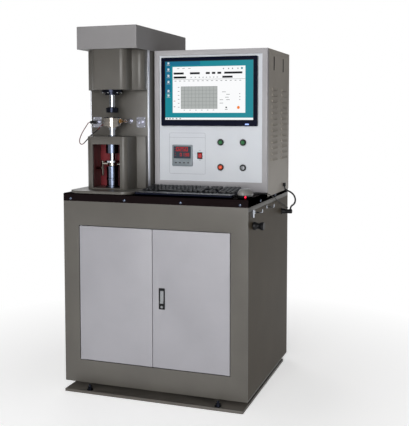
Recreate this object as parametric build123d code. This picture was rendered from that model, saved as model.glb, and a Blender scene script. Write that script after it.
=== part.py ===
# Friction and wear tester: a table cabinet that carries a test column and a measuring console.
# The column holds a belt-driven spindle above a loading ram with its specimen cup.
# Millimetres. +X is to the right seen from the front, +Y goes to the rear, +Z is up.
# The origin is the centre of the base plate's underside.
import os
from math import atan2, degrees, radians, tan

from build123d import *

# Base plate and anchor bolts
plate_width = 818
plate_depth = 710
plate_thickness = 12
pad_size = 70
pad_height = 16
bolt_spacing = 592
bolt_from_front_edge = 19
bolt_radius = 6

# Cabinet
cabinet_width = 850
cabinet_depth = 710
cabinet_height = 812
cabinet_offset_x = -12
cabinet_overhang_rear = 55
cabinet_wall = 3
top_rail_height = 19
panel_thickness = 1.5
panel_gap = 1
panel_margin = 6
panel_lap = 30
rear_panel_margin = 20

# Doors
door_opening_width = 700
door_opening_height = 604
door_sill = 102
door_gap = 3
door_thickness = 18
door_sheet = 2
pivot_inset = 6
pivot_radius = 2.5
pivot_length = 14
pivot_boss = 13

# Door lock
lock_width = 28
lock_height = 92
lock_offset_x = 44
lock_centre_height = 435
lock_bezel = 2
lock_depth = 15
lever_width = 15
lever_height = 56
lever_thickness = 5
lever_pivot_radius = 1.5
lock_button_radius = 5.5
lock_button_travel = 2

# Worktop
worktop_thickness = 34
worktop_edge_radius = 3

# Test column and its foot
column_centre_x = -269
column_width = 284
column_front = -77
column_depth = 227
column_top = 1510
column_wall = 16
column_rib = 12
foot_thickness = 12
foot_margin = 6
foot_setback = 2
foot_corner_radius = 45
lower_block_depth = 25
rail_thickness = 4
rail_width = 20

# Chamber under the specimen
chamber_width = 196
chamber_front = -215
chamber_top = 1122
chamber_roof = 35
chamber_wall = 14
chamber_floor = 6
chamber_corner_radius = 22
window_width = 134
window_offset_x = 0

# Head with the spindle bearings
head_bottom = 1330
head_block_depth = 47
head_corner_radius = 28
nose_width = 174
nose_front = -197
nose_corner_radius = 30

# Spindle
spindle_y = -148
spindle_bottom = 1253
spindle_radius = 13
bearing_bore = 17.5
bearing_outer = 36
bearing_width = 17
lower_bearing_z = 1346
upper_bearing_z = 1462
spindle_body_radius = 21
spindle_neck_radius = 14
cap_radius = 48.5
cap_flange = 12
cap_step_radius = 33.5
cap_step = 11
chuck_radius = 28.5
chuck_height = 25
chuck_bore = 6.35
chuck_bore_depth = 18

# Belt drive above the head
drive_plate_thickness = 8
drive_plate_width = 252
drive_plate_front = -190
drive_plate_rear = 392
spindle_pulley_radius = 45
motor_pulley_radius = 36
pulley_bottom = 1536
pulley_width = 38
pulley_flange = 2.5
pulley_flange_height = 4
belt_thickness = 5
belt_width = 30
motor_y = 300
motor_size = 130
motor_height = 198
motor_flange = 150
motor_shaft_radius = 12
gusset_thickness = 8
gusset_height = 120

# Belt cover
cover_width = 292
cover_front = -205
cover_length = 610
cover_height = 101
cover_sheet = 2
cover_lip = 12

# Loading train, from the chamber floor up to the specimen cup
ram_travel = 18
cylinder_radius = 27
cylinder_top = 986
cylinder_flange_radius = 28.5
cylinder_ring_radius = 29
ram_foot_radius = 10
ram_radius = 12.5
ram_flange_radius = 36
ram_flange_z = 1003
ram_flange_thickness = 10
collar_radius = 17.5
collar_bottom = 1152
collar_top = 1165
load_cell_radius = 22
load_cell_height = 16
side_bar_reach = 56
side_bar_width = 10
side_bar_length = 68
side_knob_radius = 6
side_knob_reach = 80
bush_radius = 30
bush_length = 42
bush_spigot_radius = 20
bush_lip = 3
cup_radius = 38.5
cup_height = 41
cup_bottom = 1167
cup_bowl_radius = 22
cup_bowl_depth = 24
cup_rim = 4
cup_terminal_radius = 4
arm_radius = 2.5
arm_reach = 74
arm_z = 1190

# Friction sensor and sockets on the column face
sensor_offset_x = 57
sensor_radius = 7
socket_z = 1184
left_socket_x = -380
right_socket_x = -158.5
socket_plate_width = 44
socket_plate_height = 48
socket_plate = 3
socket_barrel_radius = 10
socket_barrel = 12
plug_radius = 8
plug_length = 16
plug_elbow = 24

# Console
console_left = -122
console_right = 416
console_front = -9
console_top = 1511
console_sheet = 3
frame_depth = 20
frame_lip = 6
frame_side = 24
frame_head = 23
frame_sill = 43
frame_rebate = 12
lid_skirt = 22
side_cover_bottom = 855
louvre_pitch = 26.5
louvre_count = 13
louvre_length = 104
louvre_slot = 7
louvre_depth = 5
louvre_first_z = 1011
louvre_columns = (120, 306)
slot_columns = (106, 281)
slot_height = 58
slot_width = 5

# Control panel and what it carries
panel_sheet = 2
monitor_width = 456
monitor_height = 310
monitor_centre_x = 144
monitor_bottom = 1168
monitor_bezel = 15
monitor_body_depth = 33
monitor_body_margin = 18
screen_width = 419
screen_height = 265
screen_bottom = 1195.5
screen_recess = 3
controller_size = 98
controller_x = 15
controller_z = 1032.5
controller_bezel = 8
controller_body = 90
controller_body_depth = 70
controller_display_width = 84
controller_display_height = 56
rocker_x = 99
rocker_z = 1033
rocker_frame_width = 24
rocker_frame_height = 30
rocker_width = 17.4
rocker_radius = 11.7
rocker_depth = 5
rocker_tilt = 8
button_left_x = 198
button_right_x = 303
button_upper_z = 1095
button_lower_z = 982
bezel_radius = 15
bezel_height = 4
bezel_body_radius = 11
bezel_body_depth = 30
button_radius = 9
button_stand = 5
button_travel = 3
lens_rise = 5
key_head_radius = 9
key_head_thickness = 2.4
key_reach = 20

# Keyboard and mouse
keyboard_left = -110
keyboard_width = 440
keyboard_front = -262
keyboard_depth = 182
keyboard_front_height = 10
keyboard_rear_height = 25
palm_rest_depth = 60
rubber_foot = 2
key_pitch = 18.5
key_cap = 16.5
key_cap_height = 7
mouse_x = 375
mouse_y = -212
mouse_width = 63
mouse_length = 104
mouse_height = 36
mouse_nose_z = 884
mouse_nose_length = 6
wheel_radius = 11
wheel_width = 6
wheel_offset_y = 26

# Fittings on the cabinet's right side
knob_y = -226
knob_z = 757
knob_radius = 17
knob_waist_radius = 12
knob_length = 47
knob_shaft_radius = 4
regulator_width = 50
regulator_height = 60
regulator_depth = 26
hook_y = (-204, -5)
hook_z = 811
hook_radius = 2.5
hook_reach = 34
hook_rise = 14
hook_base_radius = 7
catch_y = -250
catch_radius = 5.5
catch_height = 32
link_y = 288
link_z = 757
link_socket_radius = 12
link_socket_length = 18
link_plug_radius = 10
link_plug_length = 32
link_elbow_rise = 11
link_gland_y = 300
link_gland_z = 884
gland_size = 12
mouse_gland_x = 380
mouse_gland_z = 905

# Drive unit on the cabinet floor
unit_width = 300
unit_depth = 220
unit_height = 260
unit_sheet = 2

# Cords
sensor_lead_diameter = 4
link_cable_diameter = 8
mouse_cord_diameter = 3.6

# Clearances
running_clearance = 0.05
moving_gap = 0.4
cut_gap = 0.5
belt_gap = 0.3

# Places worked out from the sizes above
cabinet_bottom = plate_thickness + pad_height
cabinet_top = cabinet_bottom + cabinet_height
worktop_top = cabinet_top + worktop_thickness
cabinet_rear = plate_depth / 2 + cabinet_overhang_rear
cabinet_front = cabinet_rear - cabinet_depth
cabinet_left = cabinet_offset_x - cabinet_width / 2
cabinet_right = cabinet_offset_x + cabinet_width / 2
opening_left = cabinet_offset_x - door_opening_width / 2
opening_right = cabinet_offset_x + door_opening_width / 2
opening_bottom = cabinet_bottom + door_sill
opening_top = opening_bottom + door_opening_height
foot_top = worktop_top + foot_thickness
column_left = column_centre_x - column_width / 2
column_right = column_centre_x + column_width / 2
column_rear = column_front + column_depth
lower_block_front = column_front - lower_block_depth
chamber_base = foot_top
window_bottom = chamber_base + chamber_floor
window_top = chamber_top - chamber_roof
drive_plate_top = column_top + drive_plate_thickness
lock_x = cabinet_offset_x + lock_offset_x
panel_front = console_front + frame_lip
console_rear = cabinet_rear
lock_lever_top = lock_centre_height + lock_height / 2 - 10
lock_pivot_z = lock_lever_top - 5
lock_pivot_y = cabinet_front + 1.5
lock_button_z = lock_centre_height - lock_height / 2 + 11


def block(x, y, z):
    """A box between pairs of limits."""
    centre = Pos((x[0] + x[1]) / 2, (y[0] + y[1]) / 2, (z[0] + z[1]) / 2)
    return centre * Box(x[1] - x[0], y[1] - y[0], z[1] - z[0])


def span(centre, size):
    """A pair of limits about a centre."""
    return centre - size / 2, centre + size / 2


def shrink(limits, amount):
    """A pair of limits moved inwards at both ends."""
    return limits[0] + amount, limits[1] - amount


def rod_x(x, y, z, radius):
    return Pos((x[0] + x[1]) / 2, y, z) * Rot(0, 90, 0) * Cylinder(radius, x[1] - x[0])


def rod_y(x, y, z, radius):
    return Pos(x, (y[0] + y[1]) / 2, z) * Rot(90, 0, 0) * Cylinder(radius, y[1] - y[0])


def rod_z(x, y, z, radius):
    return Pos(x, y, (z[0] + z[1]) / 2) * Cylinder(radius, z[1] - z[0])


def turned(outline):
    """A solid of revolution about Z from an outline of (radius, height) points."""
    return revolve(Plane.XZ * make_face(Polyline(*outline, close=True)), Axis.Z)


def on_test_axis(shape):
    """Puts a piece that was drawn about Z on the common axis of spindle and ram."""
    return Pos(column_centre_x, spindle_y, 0) * shape


def facing_front(x, z, shape):
    """Puts a piece that was drawn about Z on the control panel, its +Z towards the user."""
    return Pos(x, panel_front, z) * Rot(90, 0, 0) * shape


def rounded_front(shape, radius):
    """Rounds the two upright edges that face the user."""
    return fillet(shape.edges().filter_by(Axis.Z).group_by(Axis.Y)[0], radius)


def group(pieces):
    return Compound(children=list(pieces))


# Cabinet and base

def base_plate():
    plate = block(span(0, plate_width), span(0, plate_depth), (0, plate_thickness))
    inset = pad_size / 2 + 40
    for x in (cabinet_left + inset, cabinet_offset_x, cabinet_right - inset):
        for y in (cabinet_front + inset, plate_depth / 2 - inset):
            plate += block(span(x, pad_size), span(y, pad_size), (plate_thickness, cabinet_bottom))
    for x in span(0, bolt_spacing):
        plate -= rod_z(x, bolt_y(), (-1, plate_thickness + 1), bolt_radius)
    return plate


def bolt_y():
    return -plate_depth / 2 + bolt_from_front_edge


def anchor_bolts():
    """Studs with a washer, a hexagon nut and a domed end, standing in the base plate."""
    washer = (plate_thickness, plate_thickness + 2.5)
    nut_bottom = washer[1]
    bolts = []
    for x in span(0, bolt_spacing):
        stud = rod_z(x, bolt_y(), (0, nut_bottom + 22), bolt_radius)
        ring = rod_z(x, bolt_y(), washer, 14)
        nut = Pos(x, bolt_y(), nut_bottom) * extrude(RegularPolygon(11, 6), 11)
        bolts.append(stud + ring + nut)
    return group(bolts)


def cabinet_frame():
    """Folded sheet frame, open at the doors, at the side panels, at the rear and on top."""
    x, y, z = (cabinet_left, cabinet_right), (cabinet_front, cabinet_rear), (cabinet_bottom, cabinet_top)
    frame = block(x, y, z) - block(*[shrink(limits, cabinet_wall) for limits in (x, y, z)])
    frame -= block((opening_left, opening_right), (y[0] - 1, y[0] + cabinet_wall + 1),
                   (opening_bottom, opening_top))
    frame -= block(shrink(x, panel_lap), shrink(y, panel_lap), (z[1] - cabinet_wall - 1, z[1] + 1))
    panel_y, panel_z = side_panel_limits(0)
    for face, inward in ((x[0], 1), (x[1], -1)):
        recess = sorted((face - inward, face + inward * panel_thickness))
        hole = sorted((face - inward, face + inward * (cabinet_wall + 1)))
        frame -= block(recess, panel_y, panel_z)
        frame -= block(hole, shrink(panel_y, panel_lap), shrink(panel_z, panel_lap))
    rear_x, rear_z = rear_panel_limits()
    frame -= block(shrink(rear_x, panel_lap), (y[1] - cabinet_wall - 1, y[1] + 1), shrink(rear_z, panel_lap))
    return frame


def side_panel_limits(gap):
    y = (cabinet_front + panel_margin + gap, cabinet_rear - panel_margin - gap)
    z = (cabinet_bottom + panel_margin + gap, cabinet_top - top_rail_height - gap)
    return y, z


def rear_panel_limits():
    x = shrink((cabinet_left, cabinet_right), rear_panel_margin)
    z = shrink((cabinet_bottom, cabinet_top), rear_panel_margin)
    return x, z


def side_panels():
    """Left and right panels, flush in their recesses; the right one has the regulator's hole."""
    y, z = side_panel_limits(panel_gap)
    left = block((cabinet_left, cabinet_left + panel_thickness), y, z)
    right = block((cabinet_right - panel_thickness, cabinet_right), y, z)
    right -= rod_x((cabinet_right - 10, cabinet_right + 1), knob_y, knob_z, knob_shaft_radius + moving_gap)
    return group([left, right])


def louvre_hood(length, depth, height):
    """A pressed hood, drawn with its slot facing down and its sheet face in the plane x = 0."""
    profile = make_face(Polyline((0, 0), (depth, 0), (0, height), close=True))
    return Pos(0, length / 2, 0) * extrude(Plane.XZ * profile, length)


def rear_panel():
    """Rear panel with pressed louvres in two columns."""
    x, z = rear_panel_limits()
    panel = block(x, (cabinet_rear, cabinet_rear + panel_thickness), z)
    for centre in (cabinet_offset_x - 200, cabinet_offset_x + 200):
        for row in range(6):
            bottom = 600 + row * louvre_pitch
            hood = Pos(centre, cabinet_rear + panel_thickness, bottom) * Rot(0, 0, 90)
            panel += hood * louvre_hood(louvre_length, louvre_depth, 2 * louvre_slot)
            panel -= block(span(centre, louvre_length - 4), (cabinet_rear - 1, cabinet_rear + 3),
                           (bottom - 1, bottom + louvre_slot))
    return panel


def worktop():
    slab = block((cabinet_left, cabinet_right), (cabinet_front, cabinet_rear), (cabinet_top, worktop_top))
    return fillet(slab.edges().group_by(Axis.Z)[-1], worktop_edge_radius)


def drive_unit():
    """Speed drive and supply in a ventilated box on the cabinet floor."""
    floor = cabinet_bottom + cabinet_wall
    x = span(cabinet_offset_x, unit_width)
    y = (cabinet_rear - 60 - unit_depth, cabinet_rear - 60)
    box = block(x, y, (floor + 10, floor + unit_height))
    box = fillet(box.edges().filter_by(Axis.Z), 6)
    for side in x:
        foot_x = (x[0], x[0] + 24) if side == x[0] else (x[1] - 24, x[1])
        box += block(foot_x, y, (floor, floor + 10))
    box -= block(shrink(x, unit_sheet), shrink(y, unit_sheet), (floor + 10 + unit_sheet, floor + unit_height - unit_sheet))
    for row in range(8):
        box -= block(shrink(x, 40), (y[0] - 1, y[0] + 4), span(floor + 60 + 16 * row, 5))
    return box


# Doors and lock

def door_limits(side):
    """Limits of one leaf in X, with -1 for the left leaf and 1 for the right one."""
    if side < 0:
        return opening_left + door_gap, cabinet_offset_x - door_gap / 2
    return cabinet_offset_x + door_gap / 2, opening_right - door_gap


def pivot_x(side):
    outer = door_limits(side)[0] if side < 0 else door_limits(side)[1]
    return outer - side * pivot_inset


def door(side):
    """A folded sheet leaf, open at the back, with a boss at each pivot."""
    x = door_limits(side)
    y = (cabinet_front, cabinet_front + door_thickness)
    z = (opening_bottom + door_gap, opening_top - door_gap)
    leaf = block(x, y, z) - block(shrink(x, door_sheet), (y[0] + door_sheet, y[1] + 1), shrink(z, door_sheet))
    boss_x = sorted((pivot_x(side) + side * pivot_inset, pivot_x(side) - side * (pivot_boss - pivot_inset)))
    for end, inward in ((z[0], 1), (z[1], -1)):
        leaf += block(boss_x, (y[0], y[0] + pivot_boss), sorted((end, end + inward * (pivot_length + 4))))
        bore = sorted((end - inward, end + inward * pivot_length))
        leaf -= rod_z(pivot_x(side), cabinet_front + pivot_inset, bore, pivot_radius + running_clearance)
    if side > 0:
        leaf -= block(span(lock_x, lock_width - 6 + cut_gap), (y[0] - 1, y[0] + door_sheet + 1),
                      span(lock_centre_height, lock_height - 6 + cut_gap))
    return leaf


def door_pivots():
    """Pivot pins on small brackets behind the upper and lower edge of the opening."""
    pivots = []
    bracket_y = (cabinet_front + cabinet_wall, cabinet_front + door_thickness)
    for side in (-1, 1):
        x = pivot_x(side)
        for edge, inward in ((opening_bottom, 1), (opening_top, -1)):
            bracket = block(span(x, 30), bracket_y, sorted((edge, edge - inward * 5)))
            reach = inward * (door_gap + pivot_length - 2)
            pin = rod_z(x, cabinet_front + pivot_inset, sorted((edge - inward * 5, edge + reach)), pivot_radius)
            pivots.append(bracket + pin)
    return group(pivots)


def lock_body():
    """Flush lock housing with a pocket for the lever and a bore for the push button."""
    front = cabinet_front - lock_bezel
    body = block(span(lock_x, lock_width), (front, cabinet_front), span(lock_centre_height, lock_height))
    body = fillet(body.edges().filter_by(Axis.Y), 3)
    body += block(span(lock_x, lock_width - 6), (cabinet_front, cabinet_front + lock_depth),
                  span(lock_centre_height, lock_height - 6))
    pocket = (lock_lever_top - lever_height - 3, lock_lever_top + 1)
    body -= block(span(lock_x, lever_width + 1), (front - 1, cabinet_front + 9), pocket)
    body -= rod_x(span(lock_x, lever_width + 5), lock_pivot_y, lock_pivot_z,
                  lever_pivot_radius + running_clearance)
    body -= rod_y(lock_x, (front - 1, cabinet_front + 11), lock_button_z, lock_button_radius + 0.1)
    return body


def lock_lever():
    """Swing lever with a turned-up finger end, on a cross pin at its top."""
    y = (cabinet_front - 1, cabinet_front - 1 + lever_thickness)
    lever = block(span(lock_x, lever_width), y, (lock_lever_top - lever_height, lock_lever_top - 1))
    lever = fillet(lever.edges().filter_by(Axis.X).group_by(Axis.Z)[-1], 2)
    lever += block(span(lock_x, lever_width), (y[0] - 3, y[0]),
                   (lock_lever_top - lever_height, lock_lever_top - lever_height + 8))
    return lever + rod_x(span(lock_x, lever_width + 4), lock_pivot_y, lock_pivot_z, lever_pivot_radius)


def lock_button():
    y = (cabinet_front - lock_bezel - 2, cabinet_front + 7)
    button = rod_y(lock_x, y, lock_button_z, lock_button_radius)
    return chamfer(button.edges().group_by(Axis.Y)[0], 0.8)


# Test column

def column_foot():
    """Foot flange with rounded front corners; it stops short of the console."""
    front = cabinet_front + foot_setback
    wide = (column_left - foot_margin, column_right + foot_margin)
    flange = block(wide, (front, console_front - 4), (worktop_top, foot_top))
    flange = rounded_front(flange, foot_corner_radius)
    return flange + block((wide[0], column_right), (console_front - 4, column_rear), (worktop_top, foot_top))


def column_body():
    """Box-section casting, open and ribbed at the rear, with a thicker lower block in front."""
    x = (column_left, column_right)
    body = block(x, (column_front, column_rear), (foot_top, column_top))
    body += block(x, (lower_block_front, column_front), (foot_top, chamber_top))
    core_z = (foot_top + 2 * column_wall, column_top - column_wall)
    body -= block(shrink(x, column_wall), (column_front + column_wall, column_rear + 1), core_z)
    for share in (1 / 3, 2 / 3):
        height = core_z[0] + share * (core_z[1] - core_z[0])
        body += block(shrink(x, column_wall), (column_front + column_wall, column_rear - 30),
                      span(height, column_rib))
    return body


def edge_rails():
    """Ground steel strips along both front edges of the column."""
    y = (column_front, column_front + rail_width)
    left = block((column_left - rail_thickness, column_left), y, (foot_top, column_top))
    right = block((column_right, column_right + rail_thickness), y, (foot_top, column_top))
    return group([left, right])


def head_block():
    """Head with a rounded nose, bored for the two spindle bearings."""
    z = (head_bottom, column_top)
    block_front = column_front - head_block_depth
    head = block((column_left, column_right), (block_front, column_front), z)
    head = rounded_front(head, head_corner_radius)
    nose = block(span(column_centre_x, nose_width), (nose_front, block_front), z)
    head += rounded_front(nose, nose_corner_radius)
    bore = rod_z(0, 0, (lower_bearing_z, upper_bearing_z + bearing_width), bearing_outer)
    through = rod_z(0, 0, (z[0] - 1, z[1] + 1), spindle_body_radius + 2)
    return head - on_test_axis(bore + through)


def chamber_housing():
    """Chamber that surrounds the loading train, with a window in front and a bored roof."""
    x = span(column_centre_x, chamber_width)
    y = (chamber_front, lower_block_front)
    housing = rounded_front(block(x, y, (chamber_base, chamber_top)), chamber_corner_radius)
    housing -= block(shrink(x, chamber_wall), (chamber_front + chamber_wall, y[1] + 1),
                     (window_bottom, window_top))
    window_x = span(column_centre_x + window_offset_x, window_width)
    housing -= block(window_x, (chamber_front - 1, chamber_front + chamber_wall + 1), (window_bottom, window_top))
    return housing - on_test_axis(rod_z(0, 0, (window_top - 1, chamber_top + 1), bush_spigot_radius))


# Spindle and belt drive

def bearing_cap():
    """Stepped cap under the nose that closes the lower bearing."""
    bore = spindle_radius + moving_gap
    step_top = head_bottom - cap_flange
    step_bottom = step_top - cap_step
    return on_test_axis(turned([(bore, step_bottom), (cap_step_radius, step_bottom), (cap_step_radius, step_top),
                                (cap_radius, step_top), (cap_radius, head_bottom), (bore, head_bottom)]))


def spindle_bearings():
    """Two ball bearings, each ring with its sealed faces set back."""
    bearings = []
    for bottom in (lower_bearing_z, upper_bearing_z):
        top = bottom + bearing_width
        bore = bearing_bore + running_clearance
        outline = [(bore, bottom), (bore + 5, bottom), (bore + 5, bottom + 2), (bearing_outer - 4, bottom + 2),
                   (bearing_outer - 4, bottom), (bearing_outer, bottom), (bearing_outer, top),
                   (bearing_outer - 4, top), (bearing_outer - 4, top - 2), (bore + 5, top - 2),
                   (bore + 5, top), (bore, top)]
        bearings.append(on_test_axis(turned(outline)))
    return group(bearings)


def spindle():
    """Stepped shaft from the chuck up to the pulley."""
    lower_seat = (lower_bearing_z - 2, lower_bearing_z + bearing_width)
    upper_seat = (upper_bearing_z, upper_bearing_z + bearing_width + 2)
    top = pulley_bottom + pulley_width + 12
    return on_test_axis(turned([
        (0, spindle_bottom), (spindle_radius, spindle_bottom), (spindle_radius, lower_seat[0]),
        (bearing_bore, lower_seat[0]), (bearing_bore, lower_seat[1]), (spindle_body_radius, lower_seat[1]),
        (spindle_body_radius, upper_seat[0]), (bearing_bore, upper_seat[0]), (bearing_bore, upper_seat[1]),
        (spindle_neck_radius, upper_seat[1]), (spindle_neck_radius, top), (0, top)]))


def chuck():
    """Chuck that takes the upper specimen, with a blind bore open below."""
    bottom = spindle_bottom - chuck_height
    bore_top = bottom + chuck_bore_depth
    return on_test_axis(turned([
        (chuck_bore, bottom), (chuck_radius - 1.5, bottom), (chuck_radius, bottom + 1.5),
        (chuck_radius, spindle_bottom - 4), (spindle_radius + 5, spindle_bottom), (0, spindle_bottom),
        (0, bore_top), (chuck_bore, bore_top)]))


def pulley(radius, bore):
    """Flanged belt pulley with a hub on top, drawn about Z at its real height."""
    bottom, top = pulley_bottom, pulley_bottom + pulley_width
    rim = radius + pulley_flange_height
    return turned([
        (bore, bottom), (rim, bottom), (rim, bottom + pulley_flange), (radius, bottom + pulley_flange),
        (radius, top - pulley_flange), (rim, top - pulley_flange), (rim, top), (radius - 10, top),
        (radius - 10, top - 8), (bore + 10, top - 8), (bore + 10, top + 6), (bore, top + 6)])


def spindle_pulley():
    return on_test_axis(pulley(spindle_pulley_radius, spindle_neck_radius))


def motor_pulley():
    """Pulley with the motor's shaft, which runs down into the motor."""
    top = pulley_bottom + pulley_width + 6
    shaft = rod_z(0, 0, (column_top - 40, top), motor_shaft_radius)
    wheel = pulley(motor_pulley_radius, motor_shaft_radius)
    return Pos(column_centre_x, motor_y, 0) * (wheel + shaft)


def belt_outline(offset):
    """Outline of the belt loop round both pulleys, at a distance from the pulley rims."""
    wheels = [Pos(0, spindle_y) * CenterArc((0, 0), spindle_pulley_radius + offset, 0, 360),
              Pos(0, motor_y) * CenterArc((0, 0), motor_pulley_radius + offset, 0, 360)]
    return make_hull([edge for wheel in wheels for edge in wheel.edges()])


def drive_belt():
    loop = belt_outline(belt_gap + belt_thickness) - belt_outline(belt_gap)
    bottom = pulley_bottom + (pulley_width - belt_width) / 2
    return Pos(column_centre_x, 0, bottom) * extrude(loop, belt_width)


def motor_bracket():
    """Plate on top of column and head that carries the motor, with two gussets behind the column."""
    x = span(column_centre_x, drive_plate_width)
    plate = block(x, (drive_plate_front, drive_plate_rear), (column_top, drive_plate_top))
    plate -= on_test_axis(rod_z(0, 0, (column_top - 1, drive_plate_top + 1), spindle_body_radius + 2))
    plate -= rod_z(column_centre_x, motor_y, (column_top - 1, drive_plate_top + 1), 30)
    profile = make_face(Polyline((column_rear, column_top), (drive_plate_rear, column_top),
                                 (drive_plate_rear, column_top - 20), (column_rear + 20, column_top - gusset_height),
                                 (column_rear, column_top - gusset_height), close=True))
    for start in (x[0], x[1] - gusset_thickness):
        plate += Pos(start, 0, 0) * extrude(Plane.YZ * profile, gusset_thickness)
    return plate


def drive_motor():
    """Flanged motor that hangs below its plate, with a terminal box on its rear face."""
    flange_bottom = column_top - 12
    bottom = flange_bottom - motor_height
    body = Pos(0, 0, bottom) * extrude(RectangleRounded(motor_size, motor_size, 18), motor_height)
    body += Pos(0, 0, flange_bottom) * extrude(RectangleRounded(motor_flange, motor_flange, 10), 12)
    body += rod_z(0, 0, (bottom - 14, bottom), motor_size / 2 - 8)
    body += block(span(0, 70), (motor_size / 2, motor_size / 2 + 28), (flange_bottom - 90, flange_bottom - 20))
    body -= rod_z(0, 0, (column_top - 42, column_top + 1), motor_shaft_radius + running_clearance)
    return Pos(column_centre_x, motor_y, 0) * body


def belt_cover():
    """Folded cover, open below, with a lip that stands on the head and the column."""
    x = span(column_centre_x, cover_width)
    y = (cover_front, cover_front + cover_length)
    z = (column_top, column_top + cover_height)
    cover = block(x, y, z)
    cover = fillet(cover.edges().filter_by(Axis.Z) + cover.edges().group_by(Axis.Z)[-1], 3)
    cover -= block(shrink(x, cover_sheet), shrink(y, cover_sheet), (z[0] + cover_sheet, z[1] - cover_sheet))
    return cover - block(shrink(x, cover_lip), shrink(y, cover_lip), (z[0] - 1, z[0] + cover_sheet + 1))


# Loading train

def loading_cylinder():
    """Loading cylinder on the chamber floor, with a ring, a gland flange and a bore for the ram."""
    ring = (924, 934)
    bore = ram_foot_radius + running_clearance
    bore_bottom = cylinder_top - 82
    gland = cylinder_top - 12
    return on_test_axis(turned([
        (0, window_bottom), (cylinder_radius + 5, window_bottom), (cylinder_radius + 5, window_bottom + 6),
        (cylinder_radius, window_bottom + 8), (cylinder_radius, ring[0]), (cylinder_ring_radius, ring[0] + 2),
        (cylinder_ring_radius, ring[1] - 2), (cylinder_radius, ring[1]), (cylinder_radius, gland),
        (cylinder_flange_radius, gland), (cylinder_flange_radius, cylinder_top), (bore, cylinder_top),
        (bore, bore_bottom), (0, bore_bottom)]))


def loading_ram():
    """Ram rod with its flange and the collar that carries the cup."""
    flange_top = ram_flange_z + ram_flange_thickness
    return on_test_axis(turned([
        (0, cylinder_top - 70), (ram_foot_radius, cylinder_top - 70), (ram_foot_radius, ram_flange_z),
        (ram_flange_radius - 1, ram_flange_z), (ram_flange_radius, ram_flange_z + 1),
        (ram_flange_radius, flange_top - 1), (ram_flange_radius - 1, flange_top), (ram_radius, flange_top),
        (ram_radius, collar_bottom), (collar_radius, collar_bottom), (collar_radius, collar_top),
        (0, collar_top)]))


def load_cell():
    """Ring load cell under the ram's flange, with its guide bar and clamp knob at the left."""
    bottom = ram_flange_z - load_cell_height
    ring = turned([(ram_foot_radius, bottom), (load_cell_radius - 2, bottom), (load_cell_radius, bottom + 3),
                   (load_cell_radius, ram_flange_z), (ram_foot_radius, ram_flange_z)])
    bar_x = (-side_bar_reach, -side_bar_reach + side_bar_width)
    top = ram_flange_z - 1
    bar = block(bar_x, span(0, 12), (top - side_bar_length + 8, ram_flange_z + 8))
    bar += block((bar_x[0], -load_cell_radius + 2), span(0, 12), (top - 7, top))
    knob = rod_x((-side_knob_reach, bar_x[0]), 0, top - 25, side_knob_radius)
    pin = rod_x((load_cell_radius - 2, load_cell_radius + 15), 0, bottom + 9, 3)
    return on_test_axis(ring + bar + knob + pin)


def guide_bush():
    """Bush in the chamber roof that guides the ram rod."""
    bore = ram_radius + running_clearance
    top = chamber_top + bush_lip
    return on_test_axis(turned([
        (bore, window_top - bush_length), (bush_radius - 1, window_top - bush_length),
        (bush_radius, window_top - bush_length + 1), (bush_radius, window_top), (bush_spigot_radius, window_top),
        (bush_spigot_radius, top), (bore, top)]))


def specimen_cup():
    """Turned cup with a bowl and a rim, centred by a spigot bore over the ram's collar."""
    bottom, top = cup_bottom, cup_bottom + cup_height
    inner, seat = collar_radius + running_clearance, collar_top + running_clearance
    cup = turned([
        (0, seat), (inner, seat), (inner, bottom - 6), (inner + 5, bottom - 6),
        (inner + 5, bottom), (cup_radius, bottom), (cup_radius, top - cup_rim),
        (cup_radius - 2.5, top - cup_rim), (cup_radius - 2.5, top), (cup_bowl_radius, top),
        (cup_bowl_radius, top - cup_bowl_depth), (0, top - cup_bowl_depth)])
    cup += rod_x((-cup_radius - 5, -cup_radius + 3), 0, bottom + 6, cup_terminal_radius)
    return on_test_axis(cup)


def torque_arm():
    """Rod that leaves the cup sideways through a small clamp block."""
    clamp = block((cup_radius - 0.5, cup_radius + 8), span(0, 12), span(arm_z, 18))
    clamp -= rod_z(0, 0, span(arm_z, 30), cup_radius)
    return on_test_axis(clamp + rod_x((cup_radius + 4, arm_reach), 0, arm_z, arm_radius))


def friction_sensor():
    """Force sensor on the column face whose tip stops just behind the torque arm."""
    tip = spindle_y + arm_radius + belt_gap
    x = column_centre_x + sensor_offset_x
    sensor = rod_y(x, (column_front - 3, column_front), arm_z, sensor_radius + 6)
    sensor += rod_y(x, (tip + 16, column_front), arm_z, sensor_radius)
    return sensor + rod_y(x, (tip, tip + 16), arm_z, 4)


def sensor_sockets():
    """Two panel sockets on the column face; the left one takes the sensor plug."""
    sockets = []
    for x in (left_socket_x, right_socket_x):
        face = column_front - socket_plate
        plate = block(span(x, socket_plate_width), (face, column_front), span(socket_z, socket_plate_height))
        plate = fillet(plate.edges().filter_by(Axis.Y), 5)
        plate += rod_y(x, (face - socket_barrel, face), socket_z, socket_barrel_radius)
        if x == right_socket_x:
            plate -= rod_y(x, (face - socket_barrel - 1, face - 2), socket_z, socket_barrel_radius - 2)
            plate += rod_y(x, (face - socket_barrel + 2, face - 2), socket_z, 2.5)
        sockets.append(plate)
    return group(sockets)


def cord_plugs():
    """Right-angle plugs: one on the left sensor socket, one on the cabinet's link socket."""
    seat = column_front - socket_plate - socket_barrel
    shell = rod_y(left_socket_x, (seat - plug_length, seat), socket_z, plug_radius)
    elbow_y = seat - plug_length + plug_radius - 1
    tail = rod_x((left_socket_x - plug_elbow, left_socket_x), elbow_y, socket_z, plug_radius - 1.5)
    start = cabinet_right + link_socket_length
    end = start + link_plug_length
    link = rod_x((start, end), link_y, link_z, link_plug_radius)
    link = fillet(link.edges().filter_by(GeomType.CIRCLE).group_by(Axis.X)[-1], 4)
    link += rod_z(end - 8, link_y, (link_z, link_z + link_elbow_rise), 6.5)
    return group([shell + tail, link])


# Console

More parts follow.
